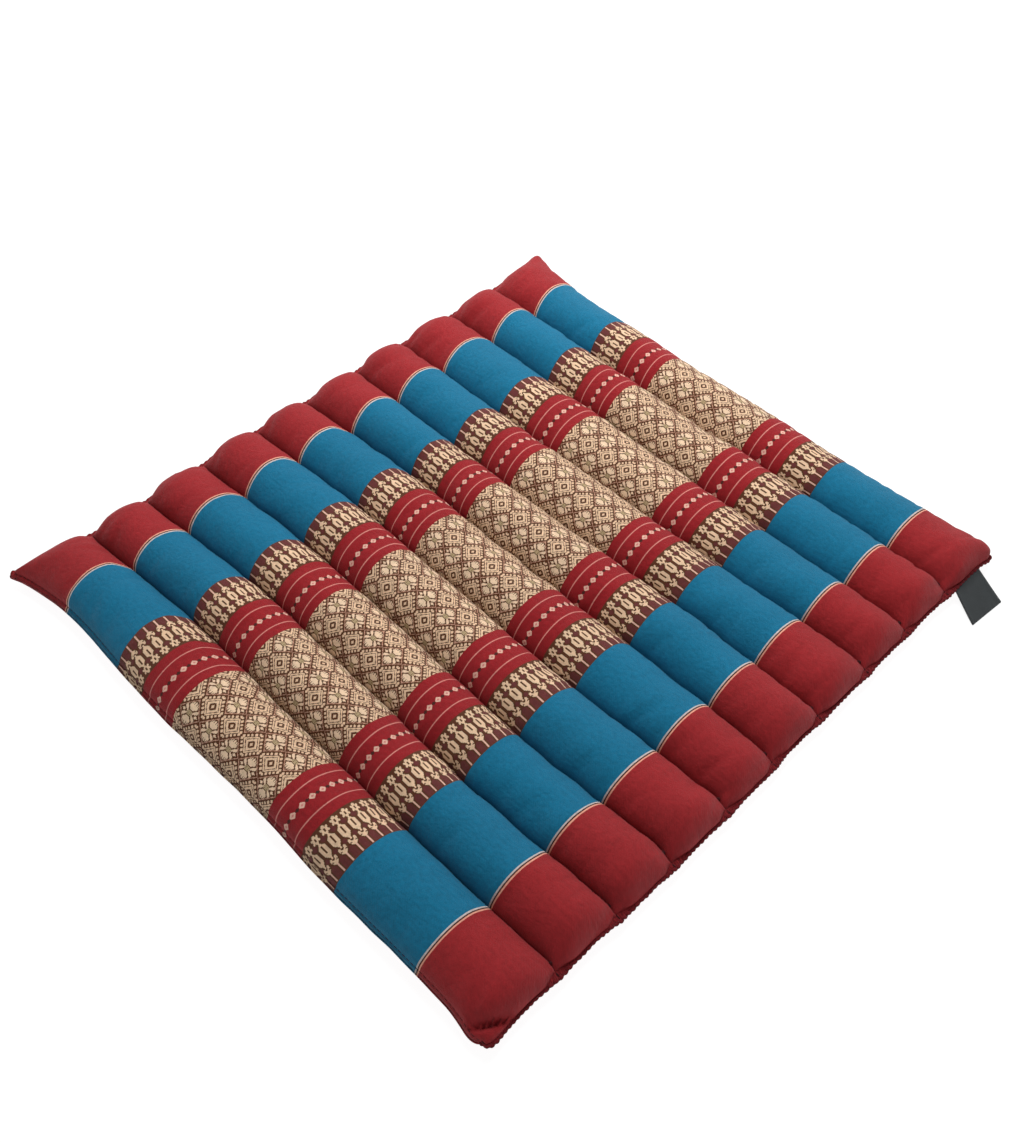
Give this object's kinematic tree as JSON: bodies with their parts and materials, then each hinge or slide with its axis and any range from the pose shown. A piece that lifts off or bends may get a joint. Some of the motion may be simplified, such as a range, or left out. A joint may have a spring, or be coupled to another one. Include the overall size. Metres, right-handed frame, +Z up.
{
  "type": "meditation cushion",
  "caption": "Flat square floor cushion quilted into parallel stuffed rolls, with banded woven cotton cloth and a small label in one end seam.",
  "frame": {"origin": "middle of the footprint on the floor, label included", "axes": "+X across the rolls, +Y along the rolls away from the end that holds the label, +Z up"},
  "size_m": [0.5512, 0.5124, 0.0313],
  "materials": {
    "cover": "matt banded cotton brocade: wine red ends, plain blue bands, cream figures on dark brown",
    "label": "matt charcoal woven tape, bare"
  },
  "bodies": {
    "root": {"cushion": "cover", "label": "label"}
  },
  "joints": []
}
